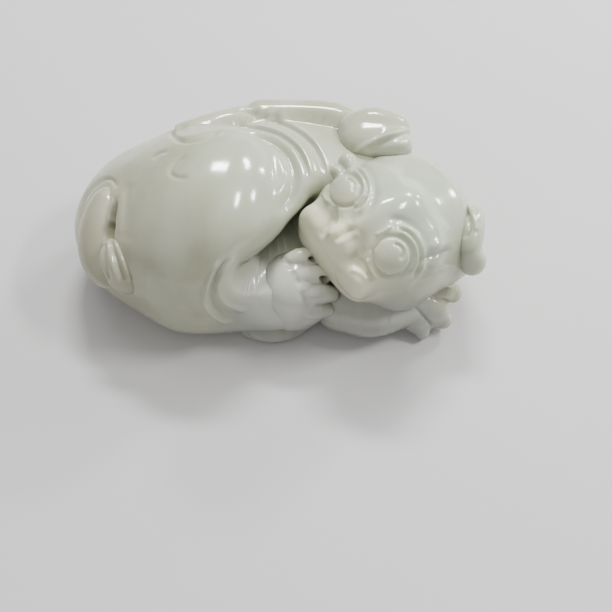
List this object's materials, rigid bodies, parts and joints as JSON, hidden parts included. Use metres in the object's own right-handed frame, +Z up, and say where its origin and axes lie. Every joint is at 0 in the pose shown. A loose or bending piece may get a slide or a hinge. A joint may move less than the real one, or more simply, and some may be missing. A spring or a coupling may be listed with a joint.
{
  "type": "jade figurine",
  "caption": "Recumbent beast carved from pale jade, lying on its side with its feet gathered and its head turned back over them",
  "frame": {"origin": "bottom centre of the bounding box, on the flat that the stone rests on", "axes": "+Z up; +X along the trunk from rump to chest, the longest extent; +Y towards the back, so the feet and the turned face lie towards -Y"},
  "size_m": [0.0614, 0.038, 0.0245],
  "materials": {
    "jade_pale": "pale celadon jade, polished to a soft wax gloss, faintly translucent",
    "jade_green": "the same jade where a faint cool green shows, polished",
    "jade_warm": "the same jade where the carving is thin and reads warmer, polished",
    "jade_grey": "the same jade low down at the feet, greyer, polished"
  },
  "bodies": {
    "root": {"torso": "jade_pale", "upper_haunch": "jade_pale", "lower_haunch": "jade_pale", "head": "jade_green", "muzzle": "jade_warm", "lower_jaw": "jade_warm", "nose": "jade_warm", "upper_hind_foot": "jade_grey", "upper_hind_toes": "jade_grey", "lower_hind_foot": "jade_grey", "upper_foreleg": "jade_grey", "upper_fore_toes": "jade_grey", "lower_foreleg": "jade_grey", "nape_mane": "jade_green", "spine_ridge": "jade_pale", "flank_folds": "jade_pale", "tail": "jade_pale", "tail_tuft": "jade_warm", "right_eye": "jade_green", "left_eye": "jade_green", "right_brow": "jade_green", "left_brow": "jade_green", "right_lip_pad": "jade_warm", "left_lip_pad": "jade_warm", "right_ear": "jade_pale", "left_ear": "jade_pale", "right_cheek_tuft": "jade_green", "left_cheek_tuft": "jade_green"}
  },
  "joints": []
}
